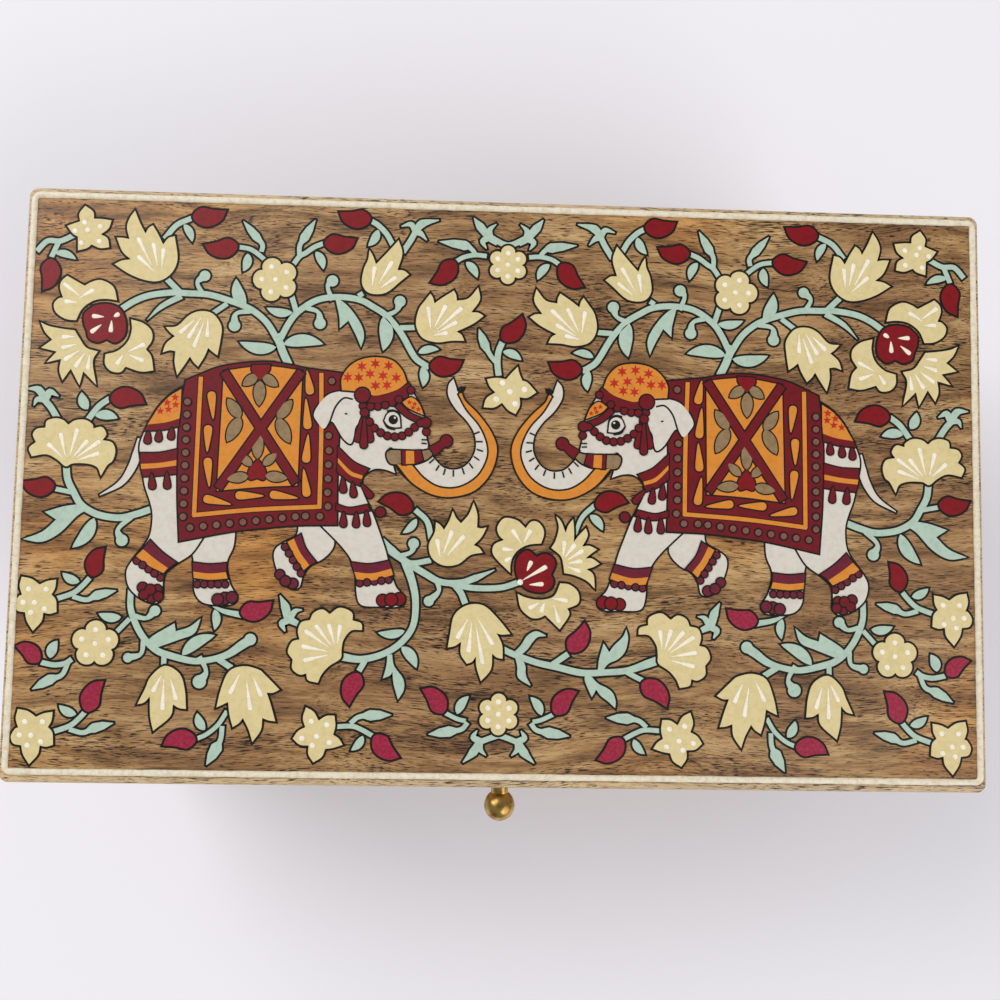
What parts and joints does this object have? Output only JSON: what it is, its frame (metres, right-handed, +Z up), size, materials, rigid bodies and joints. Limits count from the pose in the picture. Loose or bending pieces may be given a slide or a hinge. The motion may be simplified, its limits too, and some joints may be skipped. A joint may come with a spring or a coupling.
{
  "type": "jewelry box",
  "caption": "Flat wooden jewelry box with an overhanging hinged lid, a raised cream bead and painted ornament on top, a brass ball knob and a divided velvet lining.",
  "frame": {"origin": "middle of the underside, on the surface that the box stands on", "axes": "+X to the right along the front edge, +Y to the hinged back, +Z up through the lid"},
  "size_m": [0.254, 0.1638, 0.0897],
  "materials": {
    "lid_wood": "clear satin lacquer over open grain",
    "lacquered_wood": "clear satin lacquer over open grain",
    "divider_wood": "sanded, thin lacquer",
    "cream_relief_paint": "thick hand laid enamel line, satin",
    "velvet": "short pile velvet on card",
    "base_felt": "thin felt",
    "knob_brass": "turned, slightly dulled",
    "hinge_brass": "plain pressed brass",
    "screw_brass": "bright brass",
    "screw_steel": "zinc plated"
  },
  "bodies": {
    "box": {"base_felt": "base_felt", "base_board": "lacquered_wood", "base_screws": "screw_steel", "front_wall": "lacquered_wood", "back_wall": "lacquered_wood", "left_wall": "lacquered_wood", "right_wall": "lacquered_wood", "floor_lining": "velvet", "front_wall_lining": "velvet", "back_wall_lining": "velvet", "left_wall_lining": "velvet", "right_wall_lining": "velvet", "long_divider": "divider_wood", "left_cross_divider": "divider_wood", "right_cross_divider": "divider_wood", "left_hinge_body_leaf": "hinge_brass", "right_hinge_body_leaf": "hinge_brass", "left_hinge_pin": "hinge_brass", "right_hinge_pin": "hinge_brass", "hinge_body_screws": "screw_brass"},
    "lid": {"lid_board": "lid_wood", "lid_edge_bead": "cream_relief_paint", "lid_lining": "velvet", "lid_knob": "knob_brass", "knob_stud": "screw_steel", "left_hinge_lid_leaf": "hinge_brass", "right_hinge_lid_leaf": "hinge_brass", "hinge_lid_screws": "screw_brass"}
  },
  "joints": [
    {"name": "lid_hinge", "type": "hinge", "parent": "box", "child": "lid", "pos_m": [0, 0.073, 0.077], "axis": [-1, 0, 0], "range_deg": [0, 104]}
  ]
}
